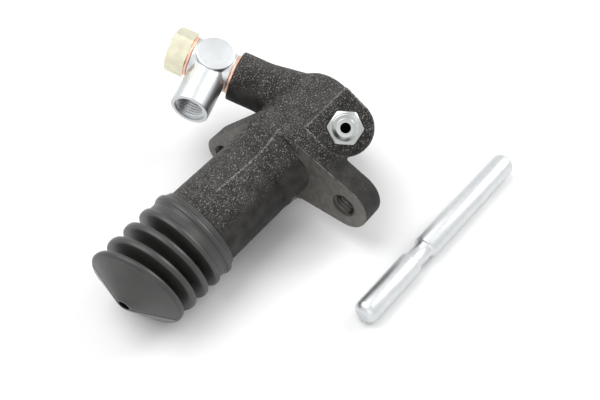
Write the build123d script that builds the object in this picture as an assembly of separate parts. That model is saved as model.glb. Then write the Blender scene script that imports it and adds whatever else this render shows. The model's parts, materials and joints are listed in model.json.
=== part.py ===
from build123d import *
from math import atan2, cos, degrees, radians, sin, tan
import os

os.makedirs("parts", exist_ok=True)

# Clutch slave cylinder, in millimetres.
# Origin: centre of the flange's machined face on the bore axis.
# X runs along the bore towards the boot, Z is up as the cylinder lies on a bench.

# Bore and barrel
bore_d = 19.05
bore_bottom_x = -31.2
bore_lead_in = 0.8
barrel_r = 13.65
barrel_end_x = 36.0
nose_r = 12.3
nose_end_x = 41.0
nose_groove_x = 38.0
nose_groove_w = 2.4
nose_groove_depth = 1.1
end_wall = 4.5
rear_r = 14.4
rear_round = 4.5

# Fairing that fills the corner between barrel, flange and bleeder boss
fairing_r = 13.7
fairing_length = 9.0
fairing_out = 4.6
fairing_up = 4.6
fairing_sink = 0.6
fairing_foot = 0.4
fairing_foot_step = 0.12

# Saddle from the top of the flange back to the housing
saddle_back_x = -27.0
saddle_back = (2.5, 3.5, 10.4)
saddle_step = 0.4

# Flange: two ears with threaded holes, seen along the bore
flange_t = 8.5
ear_round = 1.2
right_ear_y = 30.2
right_ear_z = 1.2
right_ear_r = 8.6
right_shoulder = (6.0, 10.0, 8.8)
right_root = (6.0, -1.2, 6.0)
left_ear_y = -18.9
left_ear_z = -8.1
left_ear_r = 7.4
left_shoulder = (-3.0, 7.2, 8.4)
left_root = (-3.0, -4.0, 8.0)
ear_hole_d = 6.8
ear_chamfer = 0.95

# Inlet boss, leaning towards the boot
inlet_x = -29.4
inlet_lean = 18.6
inlet_roll = 163.4
inlet_boss_r = 8.7
inlet_boss_end = 32.3
inlet_root_r = 10.8
inlet_root_start = 8.0
inlet_root_end = 22.0
port_thread_d = 10.0
port_depth = 18.0
port_passage_d = 3.0

# Bleeder boss: square on the side of the body, round on the outer side
bleeder_x = -13.6
bleeder_y = 20.3
bleeder_z = 18.5
bleeder_lean = 35.6
bleeder_roll = 61.3
bleeder_pad_r = 9.1
bleeder_pad_depth = 9.0
bleeder_pad_round = 0.8
bleeder_root_r = 10.5
bleeder_root_length = 25.0
bleeder_root_in = 10.15
bleed_thread_d = 8.0
bleed_thread_depth = 13.0
bleed_passage_d = 2.4
bleed_passage_x = -26.0
bleed_seat_angle = 45.0

# Running fits and small gaps
thread_gap = 0.05
piston_gap = 0.05
cup_gap = 0.03
seat_gap = 0.05
boot_gap = 0.15

# How far a cut runs past the face it opens, and the slope of a turned hexagon's corners
past = 1.0
hex_cut_angle = 15.0

# Piston, cup and return spring
piston_front_x = 38.5
piston_skirt = 17.5
piston_edge = 0.6
piston_stem_r = 5.4
cup_length = 5.6
cup_lip_t = 1.5
cup_lip_tip_t = 0.9
cup_lip_depth = 2.6
cup_relief = 0.35
cup_head_gap = 0.2
piston_head_r = 6.8
piston_head_t = 1.6
piston_spigot_r = 3.2
piston_spigot_l = 4.0
rod_socket_r = 4.2
rod_socket_depth = 13.0
rod_socket_lip = 1.0
rod_socket_floor_r = 3.57
rod_socket_cone = 2.1
wire_sides = 6
spring_wire_d = 1.3
spring_small_r = 4.6
spring_large_r = 8.3
spring_turns = 5.5

# Boot
boot_lip_x = 33.2
boot_collar_r = 15.0
boot_collar_length = 8.5
boot_lip_steps = 3
boot_lip_step_x = 0.75
boot_lip_step_r = 0.2
boot_ring_r = 15.5
boot_ring_pitch = 6.15
boot_first_ring = 9.4
boot_ring_half_w = 1.55
boot_root_r = 10.8
boot_root_half_w = 2.35
boot_wall = 1.5
boot_mouth_past = 5.0
boot_ring_sink = 1.0
boot_hollow_half_w = 0.5
boot_hollow_root_half_w = 0.75
boot_crest_wall = 2.4
boot_crest_back = 0.375
boot_tip_length = 6.7
boot_tip_r = 2.6
boot_tip_hole_d = 3.0
boot_tip_neck = 1.2
boot_lip_lean = (-7.0, 10.0)
boot_ring_leans = ((-1.0, 9.0), (4.0, 8.0), (7.0, 6.5), (8.0, 5.0))

# Union, its bolt and its washers
washer_r = 7.0
washer_t = 1.0
union_width = 14.5
union_sleeve_r = 6.9
union_bar_step = 0.75
union_bar_half = 7.2
union_tube_step = 0.6
union_tube_length = 20.1
union_tube_turn = -2.1
union_bolt_hole_d = 10.4
union_port_d = 8.9
union_port_depth = 11.5
union_port_chamfer = 0.7
union_passage_d = 3.5
union_edge = 0.4
bolt_shank_d = 9.9
bolt_hex_af = 14.0
bolt_head_h = 7.0
bolt_reach = 12.0
bolt_drill_d = 4.2
bolt_cross_d = 3.0
bolt_neck_d = 8.2
bolt_neck_margin = 1.5
bolt_edge = 0.8
bolt_corner_cut = 1.2

# Non-return plate and its spring, below the union bolt
valve_plate_r = 3.9
valve_plate_t = 0.8
valve_hole_d = 1.0
valve_wire_d = 0.5
valve_spring_r = 3.2
valve_turns = 4.0

# Bleeder screw
bleed_hex_af = 10.0
bleed_hex_h = 5.0
bleed_neck_h = 1.4
bleed_nipple_neck_r = 3.1
bleed_nipple_r = 4.1
bleed_nipple_h = 8.0
bleed_bulb_h = 3.2
bleed_mouth_r = 2.2
bleed_drill_d = 3.2
bleed_cross_d = 1.6
bleed_cross_up = 2.6
bleed_stem_r = 2.9
bleed_stem_up = 4.5
bleed_stem_cone = 1.0
bleed_tip_land = 0.3
bleed_nipple_foot = 0.4
bleed_barb_rise = 0.6
bleed_barb_land = 0.6
bleed_mouth_wall = 0.3
bleed_corner_cut = 0.7

# Push rod, lying beside the cylinder
rod_r = 4.0
rod_length = 81.5
rod_neck_r = 3.05
rod_neck_start = 26.0
rod_neck_length = 6.6
rod_neck_chamfer = 0.5
rod_beside_y = 53.9
rod_near_x = 22.8
rod_turn = -2.0
rod_end_flat_r = 1.2

lowest_z = -15.6


def turned(points):
    """A solid turned about the X axis from (x, radius) points."""
    outline = Polyline([(x, r) for x, r in points], close=True)
    return revolve(make_face(outline), Axis.X, 360)


def stood(points):
    """A solid turned about the Z axis from (radius, z) points."""
    outline = Plane.XZ * Polyline([(r, z) for r, z in points], close=True)
    return revolve(make_face(outline), Axis.Z, 360)


def outward(lean, roll):
    """Direction away from the bore: roll turns about the bore, lean tips to the boot."""
    return Vector(
        sin(radians(lean)),
        cos(radians(lean)) * cos(radians(roll)),
        cos(radians(lean)) * sin(radians(roll)),
    )


def seat_plane(origin, direction):
    """Plane at a seat, its Z leaving the body and its X as near the bore's as it can be."""
    along = Vector(1, 0, 0)
    return Plane(origin=origin, x_dir=along - direction * along.dot(direction), z_dir=direction)


def rod(radius, low, high):
    """A round rod on the Z axis from one height to another."""
    return Pos(0, 0, low) * Cylinder(radius, high - low, align=(Align.CENTER, Align.CENTER, Align.MIN))


def hexagon(across_flats, low, high, corner_cut):
    """A hexagon head with its outer corners turned off."""
    flats = RegularPolygon(across_flats / 2, 6, major_radius=False)
    head = extrude(Plane.XY.offset(low) * flats, high - low)
    corner_r = across_flats / 2 / cos(radians(30))
    crown = high + corner_cut * tan(radians(hex_cut_angle))
    cutter = stood([
        (0, low - past),
        (corner_r + past, low - past),
        (corner_r + past, high - corner_cut),
        (across_flats / 2 - corner_cut, crown),
        (0, crown),
    ])
    return head & cutter


bore_r = bore_d / 2
rear_x = bore_bottom_x - end_wall
inlet_dir = outward(inlet_lean, inlet_roll)
inlet_root = Vector(inlet_x, 0, 0)
inlet_plane = seat_plane(inlet_root + inlet_dir * inlet_boss_end, inlet_dir)
bleeder_dir = outward(bleeder_lean, bleeder_roll)
bleeder_seat = Vector(bleeder_x, bleeder_y, bleeder_z)
bleeder_plane = seat_plane(bleeder_seat, bleeder_dir)


def ear_plate(tip, shoulder, root):
    """One ear: the outline that three circles hold, seen along the bore."""
    rings = []
    for y, z, r in (tip, shoulder, root):
        rings += (Pos(y, z) * Circle(r)).edges()
    outline = make_hull(rings)
    plate = extrude(Plane.YZ.offset(-flange_t) * outline, flange_t)
    back = plate.faces().sort_by(Axis.X)[0]
    return fillet(back.edges(), ear_round)


def make_cylinder_body():
    barrel = turned([
        (rear_x, 0),
        (rear_x, rear_r),
        (0, rear_r),
        (0, barrel_r),
        (barrel_end_x, barrel_r),
        (barrel_end_x, nose_r),
        (nose_end_x, nose_r),
        (nose_end_x, 0),
    ])
    rear_edge = barrel.edges().filter_by(GeomType.CIRCLE).sort_by(Axis.X)[0]
    barrel = fillet(rear_edge, rear_round)
    fairing_place = Pos(fairing_out, fairing_up)
    fairing = fairing_place * Circle(fairing_r)
    wide = Plane.YZ * fairing
    narrow = Plane.YZ.offset(fairing_length) * Circle(barrel_r - fairing_sink)
    behind = Plane.YZ.offset(-flange_t) * fairing
    body = barrel + (loft([wide, narrow]) + loft([behind, wide]))
    # A low foot under the fairing, so that nothing leans out over the machined face
    foot_edges = (fairing_place * Circle(fairing_r + fairing_foot_step)).edges()
    foot_edges += Circle(barrel_r + fairing_foot_step).edges()
    body += extrude(Plane.YZ * make_hull(foot_edges), fairing_foot)
    saddle_front = Circle(right_shoulder[2] - saddle_step)
    saddle = loft([
        Plane.YZ.offset(saddle_back_x) * Pos(*saddle_back[:2]) * Circle(saddle_back[2]),
        Plane.YZ.offset(-flange_t / 2) * Pos(*right_shoulder[:2]) * saddle_front,
    ])
    body += saddle
    body += ear_plate((right_ear_y, right_ear_z, right_ear_r), right_shoulder, right_root)
    body += ear_plate((left_ear_y, left_ear_z, left_ear_r), left_shoulder, left_root)

    neck_foot = inlet_plane.offset(inlet_root_start - inlet_boss_end) * Circle(inlet_root_r)
    neck_top = inlet_plane.offset(inlet_root_end - inlet_boss_end) * Circle(inlet_boss_r)
    inlet_boss = inlet_plane * rod(inlet_boss_r, inlet_root_end - inlet_boss_end, 0)
    body += loft([neck_foot, neck_top]) + inlet_boss

    pad_side = Pos(0, -bleeder_pad_r / 2) * Rectangle(2 * bleeder_pad_r, bleeder_pad_r)
    pad_sketch = Circle(bleeder_pad_r) + pad_side
    pad = extrude(bleeder_plane * pad_sketch, -bleeder_pad_depth)
    pad = fillet(pad.faces().sort_by(Axis(bleeder_seat, bleeder_dir))[-1].edges(), bleeder_pad_round)
    root_top = bleeder_plane.offset(-bleeder_pad_depth) * Circle(bleeder_pad_r)
    root_foot = Plane(
        origin=bleeder_seat - bleeder_dir * bleeder_root_length - Vector(0, bleeder_root_in, 0),
        x_dir=bleeder_plane.x_dir,
        z_dir=bleeder_dir,
    ) * Circle(bleeder_root_r)
    body += pad + loft([root_foot, root_top])

    # Bore with its lead-in, and the groove that holds the boot
    body -= turned([
        (bore_bottom_x, 0),
        (bore_bottom_x, bore_r),
        (nose_end_x - bore_lead_in, bore_r),
        (nose_end_x, bore_r + bore_lead_in),
        (nose_end_x + past, bore_r + bore_lead_in),
        (nose_end_x + past, 0),
    ])
    body -= turned([
        (nose_groove_x, nose_r - nose_groove_depth),
        (nose_groove_x, nose_r + past),
        (nose_groove_x + nose_groove_w, nose_r + past),
        (nose_groove_x + nose_groove_w, nose_r - nose_groove_depth),
    ])
    # Inlet port: thread, valve seat and passage to the bore
    body -= inlet_plane * rod(port_thread_d / 2, -port_depth, past)
    body -= inlet_plane * rod(port_passage_d / 2, -inlet_boss_end, -port_depth + past)
    # Bleeder hole: thread, cone seat and passage to the bore
    cone_depth = (bleed_thread_d - bleed_passage_d) / 2 * tan(radians(bleed_seat_angle))
    body -= bleeder_plane * stood([
        (0, past),
        (bleed_thread_d / 2, past),
        (bleed_thread_d / 2, -bleed_thread_depth),
        (bleed_passage_d / 2, -bleed_thread_depth - cone_depth),
        (0, -bleed_thread_depth - cone_depth),
    ])
    bleed_foot = bleeder_seat - bleeder_dir * bleed_thread_depth
    to_bore = Vector(bleed_passage_x, 0, 0) - bleed_foot
    body -= Plane(origin=bleed_foot, z_dir=to_bore) * rod(bleed_passage_d / 2, 0, to_bore.length)
    # Threaded ear holes, chamfered at the machined face
    for y, z in ((right_ear_y, right_ear_z), (left_ear_y, left_ear_z)):
        body -= Pos(0, y, z) * turned([
            (past, 0),
            (past, ear_hole_d / 2 + ear_chamfer),
            (0, ear_hole_d / 2 + ear_chamfer),
            (-ear_chamfer, ear_hole_d / 2),
            (-flange_t - past, ear_hole_d / 2),
            (-flange_t - past, 0),
        ])
    return body


def make_piston():
    cup_back_x = piston_front_x - piston_skirt - cup_length
    skirt_r = bore_r - piston_gap
    return turned([
        (piston_front_x, rod_socket_r + rod_socket_lip),
        (piston_front_x, skirt_r - piston_edge),
        (piston_front_x - piston_edge, skirt_r),
        (piston_front_x - piston_skirt, skirt_r),
        (piston_front_x - piston_skirt, piston_stem_r),
        (cup_back_x, piston_stem_r),
        (cup_back_x, piston_head_r),
        (cup_back_x - piston_head_t, piston_head_r),
        (cup_back_x - piston_head_t, piston_spigot_r),
        (cup_back_x - piston_head_t - piston_spigot_l, piston_spigot_r),
        (cup_back_x - piston_head_t - piston_spigot_l, 0),
        (piston_front_x - rod_socket_depth, 0),
        (piston_front_x - rod_socket_depth + rod_socket_cone, rod_socket_floor_r),
        (piston_front_x - rod_socket_lip, rod_socket_r),
    ])


def make_piston_cup():
    front_x = piston_front_x - piston_skirt - seat_gap
    back_x = piston_front_x - piston_skirt - cup_length + seat_gap
    inner_r = piston_stem_r + seat_gap
    outer_r = bore_r - cup_gap
    lip_floor_x = back_x + cup_lip_depth
    return turned([
        (front_x, inner_r),
        (front_x, outer_r - cup_relief),
        (lip_floor_x, outer_r - cup_relief),
        (back_x, outer_r),
        (back_x, outer_r - cup_lip_tip_t),
        (lip_floor_x, outer_r - cup_lip_t),
        (lip_floor_x, piston_head_r + cup_head_gap),
        (back_x, piston_head_r),
        (back_x, inner_r),
    ])


def coil(wire_d, small_r, large_r, height, turns):
    """A wire coil on the Z axis, wide at the bottom, its wire centre from 0 to height."""
    lean = degrees(atan2(small_r - large_r, height))
    path = Helix(pitch=height / turns, height=height, radius=large_r, cone_angle=lean)
    section = Plane(origin=path @ 0, z_dir=path % 0) * RegularPolygon(wire_d / 2, wire_sides)
    return sweep(section, path=path)


def make_return_spring():
    top_x = piston_front_x - piston_skirt - cup_length - piston_head_t
    low = bore_bottom_x + spring_wire_d / 2 + seat_gap
    height = top_x - seat_gap - spring_wire_d / 2 - low
    spring = coil(spring_wire_d, spring_small_r, spring_large_r, height, spring_turns)
    return Pos(low, 0, 0) * Rot(0, 90, 0) * spring


def leaned(x, lean, shape):
    """A turned shape of the boot, set on the bore axis and leaned sideways and down."""
    sideways, down = lean
    return Pos(x, 0, 0) * Rot(0, 0, sideways) * Rot(0, down, 0) * shape


def ring(crest_r, crest_half, root_r, root_half):
    """One fold of the boot about X, round at its crest."""
    shoulder_r = crest_r - crest_half
    outline = Polyline((-root_half, root_r), (-crest_half, shoulder_r))
    outline += ThreePointArc((-crest_half, shoulder_r), (0, crest_r), (crest_half, shoulder_r))
    outline += Polyline((crest_half, shoulder_r), (root_half, root_r), (root_half, 0), (-root_half, 0))
    outline += Line((-root_half, 0), (-root_half, root_r))
    return revolve(make_face(outline), Axis.X, 360)


def make_boot():
    first_x = boot_lip_x + boot_first_ring
    ring_xs = [first_x + boot_ring_pitch * i for i in range(len(boot_ring_leans))]
    steps = []
    for i in range(boot_lip_steps):
        step_r = boot_collar_r - boot_lip_step_r * (boot_lip_steps - i)
        steps += [(boot_lip_step_x * i, step_r), (boot_lip_step_x * (i + 1), step_r)]
    collar = turned([(0, 0)] + steps + [
        (boot_lip_step_x * boot_lip_steps, boot_collar_r),
        (boot_collar_length, boot_collar_r),
        (boot_collar_length, 0),
    ])
    boot = leaned(boot_lip_x, boot_lip_lean, collar)
    tube_end = ring_xs[-1]
    seat_r = nose_r + boot_gap
    neck_r = seat_r + boot_wall
    boot += turned([
        (barrel_end_x, 0),
        (barrel_end_x, neck_r),
        (ring_xs[0], neck_r),
        (ring_xs[0], boot_root_r),
        (tube_end, boot_root_r),
        (tube_end, 0),
    ])
    fold = ring(boot_ring_r, boot_ring_half_w, boot_root_r - boot_ring_sink, boot_root_half_w)
    for x, lean in zip(ring_xs, boot_ring_leans):
        boot += leaned(x, lean, fold)
    cone = turned([
        (0, 0),
        (0, boot_ring_r - boot_ring_half_w),
        (boot_ring_half_w, boot_ring_r - boot_ring_half_w),
        (boot_tip_length, boot_tip_r),
        (boot_tip_length, 0),
    ])
    boot += leaned(tube_end, boot_ring_leans[-1], cone)

    # Inside: the seat on the nose stays true to the bore, the folds follow the outside
    bead_r = seat_r - nose_groove_depth
    inner_r = boot_root_r - boot_wall
    boot -= turned([
        (boot_lip_x - boot_mouth_past, 0),
        (boot_lip_x - boot_mouth_past, barrel_r + boot_gap),
        (barrel_end_x + boot_gap, barrel_r + boot_gap),
        (barrel_end_x + boot_gap, seat_r),
        (nose_groove_x + boot_gap, seat_r),
        (nose_groove_x + boot_gap, bead_r),
        (nose_groove_x + nose_groove_w - boot_gap, bead_r),
        (nose_groove_x + nose_groove_w - boot_gap, seat_r),
        (nose_end_x + boot_gap, seat_r),
        (nose_end_x + boot_gap, inner_r),
        (tube_end, inner_r),
        (tube_end, 0),
    ])
    hollow_r = boot_ring_r - boot_wall
    hollow = ring(hollow_r, boot_hollow_half_w, inner_r - boot_ring_sink, boot_hollow_root_half_w)
    for x, lean in list(zip(ring_xs, boot_ring_leans))[1:-1]:
        boot -= leaned(x, lean, hollow)
    crest_hollow_r = boot_ring_r - boot_crest_wall
    tip_hollow = turned([
        (-boot_wall, 0),
        (-boot_wall, inner_r - boot_hollow_half_w),
        (-boot_crest_back, crest_hollow_r),
        (boot_hollow_half_w, crest_hollow_r),
        (boot_tip_length - boot_wall - boot_tip_neck, boot_tip_hole_d / 2),
        (boot_tip_length + past, boot_tip_hole_d / 2),
        (boot_tip_length + past, 0),
    ])
    return boot - leaned(tube_end, boot_ring_leans[-1], tip_hollow)


def make_washer(low):
    hole = rod(port_thread_d / 2 + thread_gap, low - past, low + washer_t + past)
    return inlet_plane * (rod(washer_r, low, low + washer_t) - hole)


def make_union_fitting():
    low = washer_t
    mid = low + union_width / 2
    sleeve = rod(union_sleeve_r, low, low + union_width)
    sleeve = chamfer(sleeve.edges().filter_by(GeomType.CIRCLE), union_edge)
    bar = Rot(90, 0, 0) * rod(union_width / 2 - union_bar_step, -union_bar_half, union_bar_half)
    bar = chamfer(bar.edges().filter_by(GeomType.CIRCLE), union_edge)
    tube = Rot(0, 90, 0) * rod(union_width / 2 - union_tube_step, 0, union_tube_length)
    tube = chamfer(tube.edges().filter_by(GeomType.CIRCLE).sort_by(Axis.X)[-1], union_edge)
    turn = Rot(0, 0, union_tube_turn)
    body = sleeve + Pos(0, 0, mid) * turn * (bar + tube)
    port = stood([
        (0, -past),
        (union_port_d / 2 + union_port_chamfer, -past),
        (union_port_d / 2 + union_port_chamfer, 0),
        (union_port_d / 2, union_port_chamfer),
        (union_port_d / 2, union_port_depth),
        (union_passage_d / 2, union_port_depth + union_passage_d / 2),
        (union_passage_d / 2, union_tube_length),
        (0, union_tube_length),
    ])
    body -= Pos(0, 0, mid) * turn * Pos(union_tube_length, 0, 0) * Rot(0, -90, 0) * port
    body -= rod(union_bolt_hole_d / 2, low - past, low + union_width + past)
    return inlet_plane * body


def make_union_bolt():
    seat = 2 * washer_t + union_width
    mid = washer_t + union_width / 2
    shank_r = bolt_shank_d / 2
    tip = -bolt_reach
    neck_half = union_width / 2 - bolt_neck_margin
    shank = stood([
        (0, tip),
        (shank_r - bolt_edge, tip),
        (shank_r, tip + bolt_edge),
        (shank_r, mid - neck_half),
        (bolt_neck_d / 2, mid - neck_half + bolt_edge),
        (bolt_neck_d / 2, mid + neck_half - bolt_edge),
        (shank_r, mid + neck_half),
        (shank_r, seat),
        (0, seat),
    ])
    bolt = shank + hexagon(bolt_hex_af, seat, seat + bolt_head_h, bolt_corner_cut)
    bolt -= rod(bolt_drill_d / 2, tip - past, mid + bolt_cross_d / 2)
    cross = rod(bolt_cross_d / 2, -bolt_shank_d, bolt_shank_d)
    turn = Pos(0, 0, mid) * Rot(0, 0, union_tube_turn)
    bolt -= turn * Rot(0, 90, 0) * cross
    bolt -= turn * Rot(90, 0, 0) * cross
    return inlet_plane * bolt


def make_valve_plate():
    low = -port_depth + seat_gap
    hole = rod(valve_hole_d / 2, low - past, low + valve_plate_t + past)
    return inlet_plane * (rod(valve_plate_r, low, low + valve_plate_t) - hole)


def make_valve_spring():
    low = -port_depth + 2 * seat_gap + valve_plate_t + valve_wire_d / 2
    height = -bolt_reach - seat_gap - valve_wire_d / 2 - low
    spring = coil(valve_wire_d, valve_spring_r, valve_spring_r, height, valve_turns)
    return inlet_plane * Pos(0, 0, low) * spring


def make_bleeder_screw():
    stem_r = bleed_thread_d / 2 - thread_gap
    seat_z = -bleed_thread_depth
    cone = tan(radians(bleed_seat_angle))
    tip_r = bleed_passage_d / 2 + bleed_tip_land
    tip_z = seat_z - (bleed_thread_d / 2 - tip_r) * cone + 2 * seat_gap
    lower_z = seat_z - (bleed_thread_d / 2 - bleed_stem_r) * cone + 2 * seat_gap
    hex_low = bleed_neck_h
    hex_high = hex_low + bleed_hex_h
    bulb_low = hex_high + bleed_nipple_h - bleed_bulb_h
    top = hex_high + bleed_nipple_h
    screw = stood([
        (0, tip_z),
        (tip_r, tip_z),
        (bleed_stem_r, lower_z),
        (bleed_stem_r, seat_z + bleed_stem_up),
        (stem_r, seat_z + bleed_stem_up + bleed_stem_cone),
        (stem_r, hex_low),
        (stem_r, hex_high),
        (bleed_nipple_neck_r, hex_high + bleed_nipple_foot),
        (bleed_nipple_neck_r, bulb_low),
        (bleed_nipple_r, bulb_low + bleed_barb_rise),
        (bleed_nipple_r, bulb_low + bleed_barb_rise + bleed_barb_land),
        (bleed_mouth_r + bleed_mouth_wall, top),
        (0, top),
    ])
    screw += hexagon(bleed_hex_af, hex_low, hex_high, bleed_corner_cut)
    cross_z = seat_z + bleed_cross_up
    screw -= rod(bleed_drill_d / 2, cross_z, top + past)
    cross = rod(bleed_cross_d / 2, -bleed_thread_d, bleed_thread_d)
    screw -= Pos(0, 0, cross_z) * Rot(0, 90, 0) * cross
    return bleeder_plane * screw


def make_push_rod():
    neck_end = rod_neck_start + rod_neck_length
    body = rod(rod_r, 0, rod_length)
    body = fillet(body.edges().filter_by(GeomType.CIRCLE), rod_r - rod_end_flat_r)
    body -= stood([
        (rod_neck_r, rod_neck_start),
        (rod_r + past, rod_neck_start - rod_neck_chamfer),
        (rod_r + past, neck_end + rod_neck_chamfer),
        (rod_neck_r, neck_end),
    ])
    laid = Rot(0, -90, 0) * body
    return Pos(rod_near_x, rod_beside_y, lowest_z + rod_r) * Rot(0, 0, rod_turn) * laid


pieces = {
    "cylinder_body": make_cylinder_body(),
    "piston": make_piston(),
    "piston_cup": make_piston_cup(),
    "return_spring": make_return_spring(),
    "boot": make_boot(),
    "gasket_inner": make_washer(0),
    "union_fitting": make_union_fitting(),
    "gasket_outer": make_washer(washer_t + union_width),
    "union_bolt": make_union_bolt(),
    "valve_plate": make_valve_plate(),
    "valve_spring": make_valve_spring(),
    "bleeder_screw": make_bleeder_screw(),
    "push_rod": make_push_rod(),
}

for name, piece in pieces.items():
    export_step(piece, f"parts/{name}.step")
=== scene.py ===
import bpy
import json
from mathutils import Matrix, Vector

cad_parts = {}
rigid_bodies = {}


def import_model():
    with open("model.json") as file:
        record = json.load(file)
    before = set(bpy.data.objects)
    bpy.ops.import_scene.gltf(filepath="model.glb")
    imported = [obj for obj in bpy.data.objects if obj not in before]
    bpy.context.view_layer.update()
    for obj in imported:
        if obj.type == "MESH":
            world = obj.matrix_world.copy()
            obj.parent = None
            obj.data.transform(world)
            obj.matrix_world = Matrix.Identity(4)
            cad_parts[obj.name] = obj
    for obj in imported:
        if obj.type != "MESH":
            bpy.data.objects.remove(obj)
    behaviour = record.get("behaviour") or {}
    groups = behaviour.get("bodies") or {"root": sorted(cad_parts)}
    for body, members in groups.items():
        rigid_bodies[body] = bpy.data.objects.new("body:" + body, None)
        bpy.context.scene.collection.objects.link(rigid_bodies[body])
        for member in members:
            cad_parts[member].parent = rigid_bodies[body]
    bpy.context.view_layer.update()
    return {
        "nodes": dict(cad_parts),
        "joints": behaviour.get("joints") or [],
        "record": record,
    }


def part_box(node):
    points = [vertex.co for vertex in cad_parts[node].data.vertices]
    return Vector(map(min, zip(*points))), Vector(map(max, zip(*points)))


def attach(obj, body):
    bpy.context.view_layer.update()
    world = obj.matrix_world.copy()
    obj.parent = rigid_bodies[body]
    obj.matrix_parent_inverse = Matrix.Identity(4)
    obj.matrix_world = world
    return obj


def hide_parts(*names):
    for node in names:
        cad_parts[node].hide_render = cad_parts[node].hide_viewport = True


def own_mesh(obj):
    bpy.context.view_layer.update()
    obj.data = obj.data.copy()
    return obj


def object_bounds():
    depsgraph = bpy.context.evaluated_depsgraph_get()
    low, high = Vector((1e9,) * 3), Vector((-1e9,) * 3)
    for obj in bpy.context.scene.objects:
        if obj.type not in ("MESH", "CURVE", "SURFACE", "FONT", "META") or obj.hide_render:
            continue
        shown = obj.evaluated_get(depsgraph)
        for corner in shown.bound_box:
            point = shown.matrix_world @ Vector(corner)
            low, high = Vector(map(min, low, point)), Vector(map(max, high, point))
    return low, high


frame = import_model()

import json
from math import cos, pi, radians, sin, sqrt, tan

import bmesh
import bpy
from mathutils import Matrix, Vector, noise

scene = bpy.context.scene
mm = 0.001
nearAxis = 1e-6
print("frame loaded:", len(frame["nodes"]), "nodes")


# places shared by the pieces, in the frame of the CAD

def seatFrame(seat, outward):
    # z leaves the casting, x lies as near the bore's axis as it can
    z = Vector(outward).normalized()
    x = (Vector((1, 0, 0)) - z * z.x).normalized()
    y = z.cross(x)
    turn = Matrix((x, y, z)).transposed().to_4x4()
    return Matrix.Translation(Vector(seat)) @ turn


def earHole(side):
    # the middle of an ear's hole, on the milled face
    mounts = {mount["name"]: mount["pos_m"] for mount in frame["record"]["mounts"]}
    return Matrix.Translation((0, *mounts["ear_thread_" + side][1:]))


bleederJoint = next(j for j in frame["joints"] if j["name"] == "bleeder_turn")
bleederSeat = seatFrame(bleederJoint["pos_m"], bleederJoint["axis"])
boreLine = Matrix.Rotation(pi / 2, 4, "Y")  # local z becomes the bore's x

inlet = {
    "lean": 18.6,  # degrees towards the boot
    "roll": 163.4,  # degrees about the bore
    "foot": -29.4 * mm,
    "reach": 32.3 * mm,
}
inletOut = Vector((
    sin(radians(inlet["lean"])),
    cos(radians(inlet["lean"])) * cos(radians(inlet["roll"])),
    cos(radians(inlet["lean"])) * sin(radians(inlet["roll"])),
))
inletSeat = seatFrame(Vector((inlet["foot"], 0, 0)) + inletOut * inlet["reach"], inletOut)


# mesh helpers

def outwards(bm):
    # all faces turned outwards
    bmesh.ops.recalc_face_normals(bm, faces=bm.faces)
    return bm


def meshObject(name, bm, material, smoothAngle=35):
    bm.normal_update()
    mesh = bpy.data.meshes.new(name)
    bm.to_mesh(mesh)
    bm.free()
    mesh.materials.append(material)
    obj = bpy.data.objects.new(name, mesh)
    scene.collection.objects.link(obj)
    shadeByAngle(obj, smoothAngle)
    return obj


def shadeByAngle(obj, degrees):
    mesh = obj.data
    mesh.shade_smooth()
    bm = bmesh.new()
    bm.from_mesh(mesh)
    limit = radians(degrees)
    for edge in bm.edges:
        edge.smooth = len(edge.link_faces) == 2 and edge.calc_face_angle(0) < limit
    bm.to_mesh(mesh)
    bm.free()


def addRing(bm, radii, height):
    # points about z, one for each radius in mm, starting on the x axis
    ring = []
    for i, r in enumerate(radii):
        a = 2 * pi * i / len(radii)
        ring.append(bm.verts.new((r * mm * cos(a), r * mm * sin(a), height * mm)))
    return ring


def joinRings(bm, low, high):
    # faces between two rings, or between a ring and a single point
    for i in range(max(len(low), len(high))):
        j = i + 1
        corners = (low[i % len(low)], low[j % len(low)], high[j % len(high)], high[i % len(high)])
        bm.faces.new(list(dict.fromkeys(corners)))


def turnedMesh(profile, segments=96):
    # profile: (radius, height) pairs in mm, closed round z; ends on the axis are single points
    bm = bmesh.new()
    rings = [addRing(bm, [r] * (segments if r > nearAxis else 1), height) for r, height in profile]
    pairs = list(zip(rings, rings[1:]))
    if profile[0][0] > nearAxis and profile[-1][0] > nearAxis:
        pairs.append((rings[-1], rings[0]))
    for low, high in pairs:
        joinRings(bm, low, high)
    return outwards(bm)


def pillar(radius, low, high):
    return [(0, low), (radius, low), (radius, high), (0, high)]


def rounded(corners, radius, steps=4):
    # the same outline with each corner of the list rounded off
    result = []
    count = len(corners)
    for i, corner in enumerate(corners):
        here = Vector(corner)
        before = Vector(corners[i - 1]) - here
        after = Vector(corners[(i + 1) % count]) - here
        r = min(radius, before.length * 0.45, after.length * 0.45)
        if here.x < nearAxis or before.angle(after) > radians(172):  # nearly straight on
            result.append(tuple(here))
            continue
        a = here + before.normalized() * r
        b = here + after.normalized() * r
        for k in range(steps + 1):
            t = k / steps
            p = a * (1 - t) ** 2 + here * 2 * t * (1 - t) + b * t * t
            result.append((max(p.x, 0), p.y))
    return result


def placed(bm, place):
    bmesh.ops.transform(bm, matrix=place, verts=bm.verts)
    return bm


def cadCopy(name):
    # a copy of a CAD node with its split corners merged
    bm = bmesh.new()
    bm.from_mesh(frame["nodes"][name].data)
    bmesh.ops.remove_doubles(bm, verts=bm.verts, dist=0.002 * mm)
    return bm


def bakeModifiers(obj):
    graph = bpy.context.evaluated_depsgraph_get()
    mesh = bpy.data.meshes.new_from_object(obj.evaluated_get(graph))
    mesh.name = obj.name
    obj.modifiers.clear()
    old = obj.data
    obj.data = mesh
    bpy.data.meshes.remove(old)


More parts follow.
